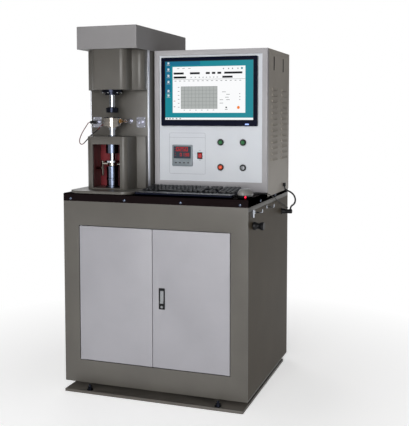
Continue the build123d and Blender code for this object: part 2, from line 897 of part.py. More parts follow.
def console_front_frame():
    """Face frame with a front lip and a rebate behind it for the panel."""
    x, z = (console_left, console_right), (worktop_top, console_top)
    y = (console_front, console_front + frame_depth)
    opening_x, opening_z = panel_opening()
    frame = block(x, y, z)
    frame = fillet(frame.edges().filter_by(Axis.Z).group_by(Axis.Y)[0], 3)
    frame -= block(opening_x, (y[0] - 1, y[1] + 1), opening_z)
    rebate = [shrink(limits, -frame_rebate) for limits in (opening_x, opening_z)]
    return frame - block(rebate[0], (panel_front, y[1] + 1), rebate[1])


def panel_opening():
    return ((console_left + frame_side, console_right - frame_side),
            (worktop_top + frame_sill, console_top - frame_head))


def control_panel():
    """Panel sheet with the cut-outs of monitor, controller, rocker and buttons."""
    opening_x, opening_z = panel_opening()
    x, z = shrink(opening_x, 1 - frame_rebate), shrink(opening_z, 1 - frame_rebate)
    panel = block(x, (panel_front, panel_front + panel_sheet), z)
    through = (panel_front - 1, panel_front + panel_sheet + 1)
    monitor_x, monitor_z = monitor_body_limits()
    panel -= block(shrink(monitor_x, -cut_gap), through, shrink(monitor_z, -cut_gap))
    panel -= block(span(controller_x, controller_body + 2 * cut_gap), through,
                   span(controller_z, controller_body + 2 * cut_gap))
    panel -= block(span(rocker_x, rocker_frame_width - 2), through, span(rocker_z, rocker_frame_height - 2))
    for x, z in button_places():
        panel -= rod_y(x, through, z, bezel_body_radius + cut_gap / 2)
    return panel


def button_places():
    return [(x, z) for x in (button_left_x, button_right_x) for z in (button_upper_z, button_lower_z)]


def console_case():
    """Case sheet: left wall, floor, rear wall and a lid with a skirt; the right side is open."""
    x, z = (console_left, console_right), (worktop_top, console_top)
    y = (console_front + frame_depth, console_rear)
    inner_x = (x[0] + console_sheet, x[1] - console_sheet)
    case = block(x, y, z) - block(inner_x, (y[0] - 1, y[1] - console_sheet), shrink(z, console_sheet))
    case -= block((inner_x[1], x[1] + 1), (y[0] - 1, y[1] + 1), (z[0] - 1, z[1] - lid_skirt))
    for column in range(9):
        slot_x = span(x[0] + 150 + 30 * column, slot_width)
        case -= block(slot_x, (y[1] - console_sheet - 1, y[1] + 1), (z[1] - 200, z[1] - 80))
    return case


def console_side_cover():
    """Right side cover with two columns of louvres and two upright slots."""
    outer = console_right
    y = (console_front + frame_depth + cut_gap, console_rear)
    cover = block((outer - console_sheet, outer), y, (side_cover_bottom, console_top - lid_skirt - cut_gap))
    for centre in louvre_columns:
        for row in range(louvre_count):
            bottom = louvre_first_z + row * louvre_pitch
            cover += Pos(outer, centre, bottom) * louvre_hood(louvre_length, louvre_depth, 2 * louvre_slot)
            cover -= block((outer - console_sheet - 1, outer + 1), span(centre, louvre_length - 4),
                           (bottom - 1, bottom + louvre_slot))
    top = console_top - lid_skirt - 10
    for centre in slot_columns:
        cover -= block((outer - console_sheet - 1, outer + 1), span(centre, slot_width), (top - slot_height, top))
    return cover


def monitor_body_limits():
    x = shrink(span(monitor_centre_x, monitor_width), monitor_body_margin)
    z = shrink((monitor_bottom, monitor_bottom + monitor_height), monitor_body_margin)
    return x, z


def monitor_case():
    """Monitor with a bezel that laps the panel and a screen set back in it."""
    x, z = span(monitor_centre_x, monitor_width), (monitor_bottom, monitor_bottom + monitor_height)
    front = panel_front - monitor_bezel
    case = fillet(block(x, (front, panel_front), z).edges().filter_by(Axis.Y), 5)
    body_x, body_z = monitor_body_limits()
    case += block(body_x, (panel_front, panel_front + monitor_body_depth), body_z)
    return case - block(span(monitor_centre_x, screen_width), (front - 1, front + screen_recess),
                        (screen_bottom, screen_bottom + screen_height))


def controller_case():
    """Panel instrument: bezel with a display recess and four keys, and a body behind the panel."""
    front = panel_front - controller_bezel
    case = block(span(controller_x, controller_size), (front, panel_front), span(controller_z, controller_size))
    case = fillet(case.edges().filter_by(Axis.Y), 5)
    case += block(span(controller_x, controller_body), (panel_front, panel_front + controller_body_depth),
                  span(controller_z, controller_body))
    case -= block(span(controller_x, controller_display_width), (front - 1, front + 1.5),
                  span(controller_z + 14, controller_display_height))
    for place in range(4):
        key_x = controller_x + (place - 1.5) * 20
        case += block(span(key_x, 13), (front - 1, front), span(controller_z - 33, 9))
    return case


def control_bezels():
    """Threaded bezels of the four round controls and the frame of the rocker switch."""
    bore = button_radius + moving_gap
    ring = turned([(bore, -bezel_body_depth), (bezel_body_radius, -bezel_body_depth), (bezel_body_radius, 0),
                   (bezel_radius, 0), (bezel_radius, bezel_height - 1), (bezel_radius - 1, bezel_height),
                   (bore, bezel_height)])
    pieces = [facing_front(x, z, ring) for x, z in button_places()]
    x, z = span(rocker_x, rocker_frame_width), span(rocker_z, rocker_frame_height)
    frame = block(x, (panel_front - 3, panel_front), z)
    frame += block(shrink(x, 1.5), (panel_front, panel_front + 24), shrink(z, 1.5))
    frame -= block(span(rocker_x, rocker_width + 0.8), (panel_front - 4, panel_front + 22),
                   span(rocker_z, 2 * (rocker_radius + moving_gap)))
    return group(pieces + [frame])


def push_button():
    """Button cap with its stem, drawn about Z with the panel surface at zero."""
    top = bezel_height + button_stand
    return turned([(0, -14), (4, -14), (4, -6), (button_radius, -6), (button_radius, top - 1.5),
                   (button_radius - 1.5, top), (0, top)])


def lamp_button():
    """Illuminated button with a domed lens."""
    rim = bezel_height + button_stand - 3
    stem = turned([(0, -14), (4, -14), (4, -6), (button_radius, -6), (button_radius, rim), (0, rim)])
    sphere = (button_radius ** 2 + lens_rise ** 2) / (2 * lens_rise)
    lens = Pos(0, 0, rim + lens_rise - sphere) * Sphere(sphere) & rod_z(0, 0, (rim, rim + 10), button_radius)
    return facing_front(button_left_x, button_lower_z, stem + lens)


def key_switch():
    """Lock cylinder with its key in place."""
    plug = turned([(0, -20), (button_radius, -20), (button_radius, bezel_height + 1),
                   (button_radius - 1, bezel_height + 2), (0, bezel_height + 2)])
    blade = block(span(0, 2), span(0, 7), (bezel_height, key_reach - key_head_radius))
    head = Pos(-key_head_thickness / 2, 0, key_reach) * Rot(0, 90, 0)
    bow = head * extrude(Circle(key_head_radius) - Pos(-4, 0) * Circle(3), key_head_thickness)
    return facing_front(button_right_x, button_lower_z, plug + blade + bow)


def rocker_switch():
    """Rocker on a round base, so that it clears its frame at every angle."""
    pivot_y = panel_front + rocker_depth
    drum = rod_x(span(rocker_x, rocker_width), pivot_y, rocker_z, rocker_radius)
    crest = panel_front - 1.5
    rise = rocker_radius * tan(radians(rocker_tilt))
    cut = make_face(Polyline((crest, rocker_z), (crest - rise, rocker_z + rocker_radius),
                             (crest - 20, rocker_z + rocker_radius), (crest - 20, rocker_z - rocker_radius),
                             (crest - rise, rocker_z - rocker_radius), close=True))
    rocker = drum - Pos(rocker_x - rocker_width, 0, 0) * extrude(Plane.YZ * cut, 2 * rocker_width)
    return rocker.rotate(Axis((0, pivot_y, rocker_z), (1, 0, 0)), rocker_tilt)


# Keyboard and mouse

def keyboard_slope():
    """Angle and front edge of the sloping key field."""
    rise = keyboard_rear_height - keyboard_front_height
    run = keyboard_depth - palm_rest_depth
    return degrees(atan2(rise, run)), keyboard_front + palm_rest_depth


def keyboard_case():
    """Flat case with a palm rest, a sloping key field and rubber feet."""
    base = worktop_top + rubber_foot
    front_top = worktop_top + keyboard_front_height
    field_front = keyboard_slope()[1]
    rear = keyboard_front + keyboard_depth
    profile = make_face(Polyline(
        (keyboard_front, base), (keyboard_front, front_top - 3), (keyboard_front + 4, front_top),
        (field_front, front_top), (rear, worktop_top + keyboard_rear_height), (rear, base), close=True))
    case = Pos(keyboard_left, 0, 0) * extrude(Plane.YZ * profile, keyboard_width)
    case = fillet(case.edges().filter_by(Axis.Z), 2.5)
    for x in (keyboard_left + 20, keyboard_left + keyboard_width - 40):
        for y in (keyboard_front + 12, rear - 24):
            case += block((x, x + 20), (y, y + 12), (worktop_top, base))
    return case


def key_rows():
    """Widths of the keys in units, for each row from the rear one to the front one."""
    main = [[1] * 15, [1] * 13 + [2], [1.5] + [1] * 12 + [1.5], [1.75] + [1] * 11 + [2.25],
            [2.25] + [1] * 10 + [2.75], [1.25] * 3 + [6.25] + [1.25] * 4]
    middle = [[1] * 3, [1] * 3, [1] * 3, [], [0, 1, 0], [1] * 3]
    number_pad = [[1] * 4, [1] * 4, [1] * 4, [1] * 4, [1] * 4, [2, 1, 1]]
    return [(0, main), (15.4, middle), (18.8, number_pad)]


def keycaps():
    """Tapered caps that stand on the sloping field, row by row."""
    angle, field_front = keyboard_slope()
    start = keyboard_left + (keyboard_width - 22.8 * key_pitch) / 2
    rise = tan(radians(angle))
    caps = []
    for offset, rows in key_rows():
        for row, widths in enumerate(rows):
            y = keyboard_front + keyboard_depth - 6 - (row + 0.5) * key_pitch
            z = worktop_top + keyboard_front_height + (y - field_front) * rise
            x = start + offset * key_pitch
            for width in widths:
                size = max(width, 1) * key_pitch
                if width:
                    outline = Rectangle(size - key_pitch + key_cap, key_cap)
                    cap = extrude(outline, key_cap_height, taper=12)
                    caps.append(Pos(x + size / 2, y, z) * Rot(angle, 0, 0) * cap)
                x += size
    return group(caps)


def mouse_case():
    """Mouse body lofted through four ovals, with a slot for its wheel."""
    base = worktop_top + 1
    ovals = [(0, 0.88, 0.94, 0), (0.34, 1, 1, 0), (0.72, 0.86, 0.86, -0.04), (1, 0.46, 0.5, -0.08)]
    sections = []
    for height, width, length, shift in ovals:
        place = Pos(0, shift * mouse_length, height * (mouse_height - 1))
        sections.append(place * Ellipse(width * mouse_width / 2, length * mouse_length / 2))
    body = loft(sections)
    slot_y = span(wheel_offset_y, 2 * wheel_radius + 3)
    body -= block(span(0, wheel_width + 2), slot_y, (wheel_z() - base - wheel_radius - 1.5, mouse_height + 5))
    body += Pos(0, 0, -1) * extrude(Ellipse(mouse_width * 0.3, mouse_length * 0.36), 1)
    nose_end = mouse_length / 2 + mouse_nose_length
    body += rod_y(0, (mouse_length / 2 - 6, nose_end), mouse_nose_z - base, 3.2)
    axle = rod_x(span(0, wheel_width + 6), wheel_offset_y, wheel_z() - base, 1.5)
    return Pos(mouse_x, mouse_y, base) * (body + axle)


def wheel_z():
    return worktop_top + mouse_height - 14


def mouse_wheel():
    wheel = rod_x(span(mouse_x, wheel_width), mouse_y + wheel_offset_y, wheel_z(), wheel_radius)
    wheel = fillet(wheel.edges().filter_by(GeomType.CIRCLE), 1.5)
    return wheel - rod_x(span(mouse_x, wheel_width + 2), mouse_y + wheel_offset_y, wheel_z(),
                         1.5 + running_clearance)


# Fittings on the cabinet's right side

def regulator_knob():
    """Waisted knob on the regulator's shaft, which passes through the side panel."""
    shaft_start = -regulator_depth + 6
    third = knob_length / 3
    outline = [(0, shaft_start), (knob_shaft_radius, shaft_start), (knob_shaft_radius, 1),
               (knob_radius - 2, 1), (knob_radius, 3), (knob_radius, 0.7 * third),
               (knob_waist_radius, 1.3 * third), (knob_waist_radius, 1.7 * third), (knob_radius, 2.3 * third),
               (knob_radius, knob_length - 2), (knob_radius - 2, knob_length), (0, knob_length)]
    return Pos(cabinet_right, knob_y, knob_z) * Rot(0, 90, 0) * turned(outline)


def load_regulator():
    """Regulator body behind the side panel, with a round bonnet."""
    face = cabinet_right - panel_thickness
    body = block((face - regulator_depth, face), span(knob_y, regulator_width), span(knob_z, regulator_height))
    body = fillet(body.edges().filter_by(Axis.X), 6)
    body += rod_x((face - regulator_depth - 22, face - regulator_depth), knob_y, knob_z, 18)
    return body - rod_x((face - regulator_depth + 4, face + 1), knob_y, knob_z,
                        knob_shaft_radius + running_clearance)


def side_hooks():
    """Two rod hooks with upturned ends and an upright chrome catch."""
    pieces = []
    for y in hook_y:
        end = cabinet_right + hook_reach
        bend = 5
        path = Polyline((cabinet_right, y, hook_z), (end - bend, y, hook_z))
        path += Line((end, y, hook_z + bend), (end, y, hook_z + hook_rise))
        path += ThreePointArc((end - bend, y, hook_z), (end - bend * 0.293, y, hook_z + bend * 0.293),
                              (end, y, hook_z + bend))
        hook = sweep(Plane((cabinet_right, y, hook_z), z_dir=(1, 0, 0)) * Circle(hook_radius), Wire(path.edges()))
        pieces.append(hook + rod_x((cabinet_right, cabinet_right + 2), y, hook_z, hook_base_radius))
    middle = cabinet_right + 2 + catch_radius
    catch = rod_z(middle, catch_y, span(hook_z, catch_height), catch_radius)
    catch += block((cabinet_right, middle), span(catch_y, 9), span(hook_z, catch_height - 6))
    return group(pieces + [catch])


def cable_glands():
    """Link socket on the cabinet, link gland on the console's side, cord gland on its rear wall."""
    face = cabinet_right
    socket = rod_x((face, face + link_socket_length), link_y, link_z, link_socket_radius)
    socket += rod_x((face, face + 3), link_y, link_z, link_socket_radius + 4)
    gland = block((console_right, console_right + gland_size), span(link_gland_y, gland_size),
                  (link_gland_z - 8, link_gland_z + 8))
    gland = fillet(gland.edges().filter_by(Axis.Z), 3)
    rear = rod_y(mouse_gland_x, (console_rear, console_rear + 6), mouse_gland_z, 6)
    return group([socket, gland, rear])


# Cords, as round tubes along hand-set routes

sensor_lead_route = [
    (-404, -101, 1184), (-414, -101, 1184), (-424, -103, 1168), (-437, -106, 1148), (-449, -110, 1125),
    (-456, -115, 1100), (-450, -120, 1084), (-434, -125, 1081), (-415, -130, 1096), (-394, -137, 1115),
    (-370, -142, 1134), (-350, -146, 1145), (-336, -148, 1158), (-324, -148, 1173), (-312.8, -148, 1173)]

link_cable_route = [
    (422, 300, 876), (422, 300, 864), (434, 301, 856), (452, 302, 849), (468, 302, 836), (477, 300, 815),
    (474, 293, 793), (455, 288, 781), (455, 288, 768)]

mouse_cord_route = [
    (375, -154, 884), (375, -140, 884), (380, -120, 878), (392, -96, 876), (408, -71, 876.5),
    (423, -40, 873), (428, 2, 864), (425, 52, 854), (423, 106, 839), (421.5, 160, 823), (421, 214, 808),
    (420.5, 268, 794), (420.5, 322, 779), (420, 372, 766), (415, 414, 757), (400, 438, 760), (386, 446, 784),
    (380, 447, 818), (380.5, 446, 852), (380, 442, 882), (380, 430, 905), (380, 416, 905)]


def corner_radii(route):
    """The largest arc at each corner that its two runs allow."""
    points = [Vector(*point) for point in route]
    radii = []
    for before, corner, after in zip(points, points[1:], points[2:]):
        first, second = corner - before, after - corner
        half_turn = radians(first.get_angle(second) / 2)
        radii.append(0.45 * min(first.length, second.length) / tan(half_turn))
    return radii


def cord(name, route, diameter):
    """A round tube along a route of straight runs and tangent arcs."""
    radii = corner_radii(route)
    path = FilletPolyline(*route, radius=radii)
    start = Vector(*route[0])
    section = Plane(start, z_dir=Vector(*route[1]) - start) * Circle(diameter / 2)
    tube = sweep(section, path)
    expected = path.length * 3.14159 * diameter ** 2 / 4
    print(name, "length", round(path.length), "mm, smallest radius", round(min(radii), 1),
          "mm, volume over section times length", round(tube.volume / expected, 3))
    return tube


def build():
    """Every sub-part under its own name."""
    return {
        "base_plate": base_plate(),
        "anchor_bolts": anchor_bolts(),
        "cabinet_frame": cabinet_frame(),
        "side_panels": side_panels(),
        "rear_panel": rear_panel(),
        "worktop": worktop(),
        "drive_unit": drive_unit(),
        "left_door": door(-1),
        "right_door": door(1),
        "door_pivots": door_pivots(),
        "lock_body": lock_body(),
        "lock_lever": lock_lever(),
        "lock_button": lock_button(),
        "column_foot": column_foot(),
        "column_body": column_body(),
        "edge_rails": edge_rails(),
        "head_block": head_block(),
        "chamber_housing": chamber_housing(),
        "bearing_cap": bearing_cap(),
        "spindle_bearings": spindle_bearings(),
        "spindle": spindle(),
        "chuck": chuck(),
        "spindle_pulley": spindle_pulley(),
        "motor_bracket": motor_bracket(),
        "drive_motor": drive_motor(),
        "motor_pulley": motor_pulley(),
        "drive_belt": drive_belt(),
        "belt_cover": belt_cover(),
        "loading_cylinder": loading_cylinder(),
        "loading_ram": loading_ram(),
        "load_cell": load_cell(),
        "guide_bush": guide_bush(),
        "specimen_cup": specimen_cup(),
        "torque_arm": torque_arm(),
        "sensor_sockets": sensor_sockets(),
        "friction_sensor": friction_sensor(),
        "cord_plugs": cord_plugs(),
        "sensor_lead": cord("sensor_lead", sensor_lead_route, sensor_lead_diameter),
        "console_front_frame": console_front_frame(),
        "control_panel": control_panel(),
        "console_case": console_case(),
        "console_side_cover": console_side_cover(),
        "monitor_case": monitor_case(),
        "controller_case": controller_case(),
        "control_bezels": control_bezels(),
        "green_button_left": facing_front(button_left_x, button_upper_z, push_button()),
        "green_button_right": facing_front(button_right_x, button_upper_z, push_button()),
        "lamp_button": lamp_button(),
        "key_switch": key_switch(),
        "rocker_switch": rocker_switch(),
        "keyboard_case": keyboard_case(),
        "keycaps": keycaps(),
        "mouse_case": mouse_case(),
        "mouse_wheel": mouse_wheel(),
        "regulator_knob": regulator_knob(),
        "load_regulator": load_regulator(),
        "side_hooks": side_hooks(),
        "cable_glands": cable_glands(),
        "link_cable": cord("link_cable", link_cable_route, link_cable_diameter),
        "mouse_cord": cord("mouse_cord", mouse_cord_route, mouse_cord_diameter),
    }


os.makedirs("parts", exist_ok=True)
for name, shape in build().items():
    export_step(shape, f"parts/{name}.step")
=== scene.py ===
# Dresses the friction and wear tester: finishes, screws, screen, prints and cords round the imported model.
# Places and sizes are in millimetres in the model's frame, unless a comment says metres.
import math

import bmesh
import bpy
from mathutils import Matrix, Vector


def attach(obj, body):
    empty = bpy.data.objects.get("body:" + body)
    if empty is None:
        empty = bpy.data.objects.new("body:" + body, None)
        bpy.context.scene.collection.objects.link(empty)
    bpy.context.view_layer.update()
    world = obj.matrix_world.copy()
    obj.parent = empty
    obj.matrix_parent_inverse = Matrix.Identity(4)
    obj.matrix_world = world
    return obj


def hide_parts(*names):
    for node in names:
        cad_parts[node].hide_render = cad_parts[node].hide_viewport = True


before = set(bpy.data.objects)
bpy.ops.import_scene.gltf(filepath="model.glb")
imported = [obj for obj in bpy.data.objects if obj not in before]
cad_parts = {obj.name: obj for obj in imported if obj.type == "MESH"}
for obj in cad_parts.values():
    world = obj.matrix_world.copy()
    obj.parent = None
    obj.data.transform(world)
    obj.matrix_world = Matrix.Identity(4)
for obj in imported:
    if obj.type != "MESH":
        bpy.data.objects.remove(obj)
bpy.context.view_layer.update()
MM = 0.001


# Small tools for finishes

def linear(code):
    """An sRGB hex colour as linear red, green, blue and alpha."""
    shares = [int(code[place:place + 2], 16) / 255 for place in (1, 3, 5)]
    return tuple([c / 12.92 if c <= 0.04045 else ((c + 0.055) / 1.055) ** 2.4 for c in shares] + [1.0])


def wire(tree, node, **sockets):
    """Gives sockets a value or another node's output; _3 is socket number 3, Coat_Weight is Coat Weight."""
    for name, value in sockets.items():
        socket = node.inputs[int(name[1:])] if name[1:].isdigit() else node.inputs[name.replace("_", " ")]
        if isinstance(value, bpy.types.NodeSocket):
            tree.links.new(value, socket)
        else:
            socket.default_value = value
    return node


def add(tree, kind, settings=None, **sockets):
    """Adds a shader node with its settings, socket values and links."""
    node = tree.nodes.new("ShaderNode" + kind)
    for name, value in (settings or {}).items():
        setattr(node, name, value)
    return wire(tree, node, **sockets)


def blank(name):
    """A new finish, its node tree and its shader."""
    finish = bpy.data.materials.new(name)
    finish.use_nodes = True
    return finish, finish.node_tree, finish.node_tree.nodes["Principled BSDF"]


def grains(tree, size, detail, stretch=(1, 1, 1)):
    """Noise whose grains have a real size; stretch draws them out along an axis."""
    place = add(tree, "TexCoord").outputs["Object"]
    where = add(tree, "Mapping", Vector=place, Scale=[1 / s for s in stretch]).outputs["Vector"]
    return add(tree, "TexNoise", Vector=where, Scale=1 / (size * MM), Detail=detail).outputs["Fac"]


def cloudy(tree, pattern, dark, light):
    """Colours between two hex values as a pattern goes from low to high."""
    share = add(tree, "MapRange", Value=pattern, From_Min=0.3, From_Max=0.7).outputs["Result"]
    return add(tree, "Mix", {"data_type": "RGBA"}, _0=share, _6=linear(dark), _7=linear(light)).outputs[2]


def grained(name, dark, light, shine, grain, relief, clouds=None, stretch=(1, 1, 1), **sockets):
    """A finish whose shine and relief follow its grain, and whose colour follows that or wider clouds.

    shine is the lowest and highest roughness; grain and clouds are each a size and a count of finer layers.
    """
    finish, tree, shader = blank(name)
    skin = grains(tree, *grain, stretch)
    colour = cloudy(tree, grains(tree, *clouds) if clouds else skin, dark, light)
    gloss = add(tree, "MapRange", Value=skin, To_Min=shine[0], To_Max=shine[1]).outputs["Result"]
    bumps = add(tree, "Bump", Height=skin, Distance=relief * MM, Strength=1.0).outputs["Normal"]
    wire(tree, shader, Base_Color=colour, Roughness=gloss, Normal=bumps, **sockets)
    return finish


# Kinds of finish

# Real grinding marks and mould grain are about 0.1 mm wide, too fine to show in the render, so they are
# drawn five to ten times as coarse.

def powder_coat(name, dark, light, roughness=0.45, peel=2.2, **sockets):
    """Baked powder coat: a fine orange-peel skin that spreads the shine, a little cloudy over a big sheet."""
    shine = (roughness - 0.05, roughness + 0.07)
    return grained(name, dark, light, shine, (peel, 2), 0.05, (180, 3), **sockets)


def machine_enamel(name, dark, light, roughness=0.38):
    """Sprayed enamel over filled casting: smooth, with slow waves and a soft gloss."""
    shine = (roughness - 0.06, roughness + 0.08)
    return grained(name, dark, light, shine, (14, 3), 0.12, (90, 4), Coat_Weight=0.15, Coat_Roughness=0.3)


def metal(name, dark, light, roughness, grain=0.8, stretch=(1, 1, 1), depth=0.01, **sockets):
    """Bare metal whose grinding or turning marks run along the stretched axis."""
    shine = (roughness * 0.8, roughness * 1.25)
    return grained(name, dark, light, shine, (grain, 3), depth, None, stretch, Metallic=1.0, **sockets)


def plastic(name, dark, light, roughness, grain=0.7, depth=0.03, coat=0.0, **sockets):
    """Moulded plastic or rubber with the fine spark-eroded grain of its tool."""
    shine = (roughness - 0.04, roughness + 0.06)
    return grained(name, dark, light, shine, (grain, 2), depth, IOR=1.5, Coat_Weight=coat, **sockets)


def lit(name, code, strength=1.0):
    """A part of a display that gives its own light behind a smooth face."""
    finish, tree, shader = blank(name)
    wire(tree, shader, Base_Color=linear("#101114"), Roughness=0.3, Specular_IOR_Level=0.15,
         Emission_Color=linear(code), Emission_Strength=strength)
    return finish


def lens(name, dark, light, glow=0.0):
    """Tinted clear cap over a reflector: deep colour, a wet shine and a little light of its own."""
    finish, tree, shader = blank(name)
    tint = cloudy(tree, grains(tree, 6, 1), dark, light)
    wire(tree, shader, Base_Color=tint, Emission_Color=tint, Emission_Strength=glow, Roughness=0.16,
         Coat_Weight=0.6)
    return finish


def mouse_finish():
    """Silver paint over the crown and black plastic round the base, parted at a moulded line."""
    finish, tree, shader = blank("silver_over_black_abs")
    place = add(tree, "TexCoord").outputs["Object"]
    height = add(tree, "SeparateXYZ", Vector=place).outputs["Z"]
    line_low, line_top = 885.8 * MM, 886.2 * MM
    crowned = add(tree, "MapRange", Value=height, From_Min=line_low, From_Max=line_top).outputs["Result"]
    skin = grains(tree, 0.6, 2)
    base = cloudy(tree, skin, "#101114", "#1a1b1e")
    crown = cloudy(tree, skin, "#7c7a78", "#8d8b88")
    colour = add(tree, "Mix", {"data_type": "RGBA"}, _0=crowned, _6=base, _7=crown).outputs[2]
    gloss = add(tree, "MapRange", Value=skin, To_Min=0.24, To_Max=0.34).outputs["Result"]
    wire(tree, shader, Base_Color=colour, Roughness=gloss)
    return finish


# Powder coats: dull and even, so that lamps show on them as wide soft patches. The two side coats are copies
# of the front coats, with painted side shade and a painted warm cast
cabinet_coat = powder_coat("olive_grey_powder_coat", "#5e5b56", "#65625c", 0.42)
# The side coat is the cabinet's olive grey painted darker and browner, with its specular lowered: painted
# shade of the side and rear faces
cabinet_side_coat_painted_shade = powder_coat("olive_grey_painted_side_shade", "#4b4335", "#52493b", 0.55, Specular_IOR_Level=0.25)
door_coat = powder_coat("light_grey_powder_coat", "#a9a8ae", "#b0afb5", 0.45)
cover_coat = powder_coat("warm_grey_powder_coat", "#8b898a", "#929091", 0.45)
console_coat = powder_coat("pale_grey_powder_coat", "#a8a6a9", "#afadb0", 0.42)
# The console's side coat is its pale grey painted warmer: a painted warm cast of light on the case's sides
console_side_coat_painted_warm_light = powder_coat("pale_grey_side_painted_warm_light", "#aea79d", "#b5aea4", 0.42)
panel_coat = powder_coat("cool_white_panel_coat", "#d8dce3", "#dfe3e8", 0.5, 1.6)

# Enamels on castings: smooth and slightly wavy, with a soft highlight along each rounded edge
column_enamel = machine_enamel("olive_machine_enamel", "#55524d", "#5c5954")
plate_enamel = machine_enamel("dark_plate_enamel", "#57534d", "#605b55", 0.5)
motor_enamel = machine_enamel("black_motor_enamel", "#1a1b1d", "#242628", 0.4)
liner_paint = machine_enamel("dark_red_liner_enamel", "#742329", "#8b2f36", 0.4)

# Ground, turned and plated metals: they mirror the room, with reflections drawn out along their marks. The
# worktop and the darkened polished steel also carry painted dark reflections in their base colours
# The worktop's stainless steel has a dark brown base colour and a grey-brown specular tint: a painted dark
# reflection of its surroundings, not the steel's own colour
worktop_steel_painted_reflection = metal("ground_stainless_painted_dark_reflection", "#150f10", "#211a1b", 0.14, 0.9, (60, 1, 1), 0.004,
                      Specular_Tint=linear("#5c5654"))
rail_steel = metal("bright_guide_steel", "#dcdfea", "#f0f2f8", 0.34, 0.8, (1, 1, 60), 0.004)
chrome = metal("bright_chrome_plate", "#a2a6af", "#bfc3cb", 0.09, 1.2, (1, 1, 1), 0.002)
turned_steel = metal("turned_steel", "#8b8681", "#bdb5ab", 0.17, 0.9, (40, 40, 1), 0.006)
# Polished steel whose base colour is darkened and blued: a painted dark reflection along the sides of the
# polished cylinders and screws
steel_painted_dark_reflection = metal("polished_steel_painted_dark_reflection", "#4a5160", "#6a7284", 0.17, 0.9, (40, 40, 1), 0.005)
black_oxide = metal("oiled_black_oxide_steel", "#15171e", "#2a2d38", 0.2, 0.8, (30, 30, 1), 0.01)
zinc_plate = metal("zinc_plated_steel", "#8b8d90", "#a6a8ab", 0.34, 3.0, (1, 1, 1), 0.02)
brass = metal("drawn_brass", "#6b4a25", "#97713c", 0.24, 0.8, (40, 1, 1), 0.005)
sensor_body = metal("satin_nickel_plate", "#9fa0ab", "#bdbec8", 0.24, 1.0, (1, 1, 1), 0.003)

# Moulded plastics, inks and rubbers: the glossy ones reflect the lamps and the others stay dull
gloss_black = plastic("gloss_black_abs", "#04081a", "#070e28", 0.12, 0.6, 0.004, Specular_IOR_Level=0.2)
matt_black = plastic("matt_black_abs", "#0b0c0e", "#141518", 0.42, Specular_IOR_Level=0.25)
key_black = plastic("keyboard_black_abs", "#0b0c0f", "#131417", 0.34, Specular_IOR_Level=0.25)
instrument_grey = plastic("instrument_grey_polycarbonate", "#7d878d", "#8b959b", 0.4)
display_window = plastic("smoked_display_window", "#1f2b38", "#283645", 0.2, 0.6, 0.003)
palm_grey = plastic("grey_palm_rest_abs", "#5d5e63", "#6a6b70", 0.3, 0.6, 0.01, 0.2)
print_ink = plastic("grey_screen_print_ink", "#8b9098", "#999ea6", 0.5, 0.5, 0.004)
mark_ink = plastic("black_screen_print_ink", "#2a2c31", "#3a3c41", 0.5, 0.5, 0.004)
rubber = plastic("black_rubber_sheath", "#0a0a0c", "#131315", 0.6, 1.2, 0.04)
red_sleeve = plastic("red_silicone_sleeve", "#56100f", "#701a17", 0.62, 1.0, 0.03)

# Clear tinted caps: deep in colour and wet to the eye
rocker_red = lens("red_rocker_cap", "#a80f10", "#c2181a", 0.12)
green_cap = lens("green_button_cap", "#0a5a28", "#0f7034", 0.05)
lamp_cap = lens("orange_red_lamp_cap", "#d8492a", "#ec6240", 0.25)

# Lights and segments that shine by themselves
digit_red = lit("red_display_segment", "#c21a1a")
power_light = lit("blue_power_light", "#9db6ff", 1.6)
sensor_glow = lit("red_mouse_light", "#ff1a3a", 2.2)


# Small tools for shapes

def block(shape, x, y, z, finish=0):
    """A box between pairs of limits."""
    corners = [shape.verts.new((a, b, c)) for a in x for b in y for c in z]
    for ring in ((0, 1, 3, 2), (4, 6, 7, 5), (0, 4, 5, 1), (2, 3, 7, 6), (0, 2, 6, 4), (1, 5, 7, 3)):
        shape.faces.new([corners[i] for i in ring]).material_index = finish


def turned(shape, outline, place, steps=32, finish=0):
    """A solid of revolution from (radius, height) points, put where the matrix says."""
    rings = []
    for radius, height in outline:
        count = steps if radius else 1
        angles = [2 * math.pi * i / count for i in range(count)]
        rings.append([shape.verts.new(place @ Vector((radius * math.cos(a), radius * math.sin(a), height)))
                      for a in angles])
    for low, top in zip(rings, rings[1:]):
        for i in range(steps):
            j = (i + 1) % steps
            corners = [low[i % len(low)], low[j % len(low)], top[j % len(top)], top[i % len(top)]]
            corners = list(dict.fromkeys(corners))
            if len(corners) > 2:
                shape.faces.new(corners).material_index = finish


def pointing(direction, at):
    """Turns a piece drawn along +Z to a direction and moves it to a point."""
    turn = Vector((0, 0, 1)).rotation_difference(Vector(direction)).to_matrix().to_4x4()
    return Matrix.Translation(at) @ turn


def rounded_outline(x, y, radius, steps=6):
    """Points of a rectangle with rounded corners, from its limits along two axes."""
    right, left = x[1] - radius, x[0] + radius
    top, low = y[1] - radius, y[0] + radius
    points = []
    for centre_x, centre_y, start in ((right, top, 0), (left, top, 90), (left, low, 180), (right, low, 270)):
        for i in range(steps + 1):
            angle = math.radians(start + 90 * i / steps)
            points.append((centre_x + radius * math.cos(angle), centre_y + radius * math.sin(angle)))
    return points


def walls(shape, first, second, finish=0):
    """Faces all the way round between two rings with as many corners."""
    count = len(first)
    for i in range(count):
        j = (i + 1) % count
        shape.faces.new([first[i], first[j], second[j], second[i]]).material_index = finish


def outline_line(shape, x, z, radius, width, y, finish=0):
    """A printed or moulded line round a rounded rectangle, between two depths."""
    outer = rounded_outline(x, z, radius)
    inner_x, inner_z = (x[0] + width, x[1] - width), (z[0] + width, z[1] - width)
    inner = rounded_outline(inner_x, inner_z, max(radius - width, 0.1))
    loops = [[shape.verts.new((a, depth, b)) for a, b in loop] for depth in y for loop in (outer, inner)]
    for first, second in ((0, 1), (1, 3), (3, 2), (2, 0)):
        walls(shape, loops[first], loops[second], finish)


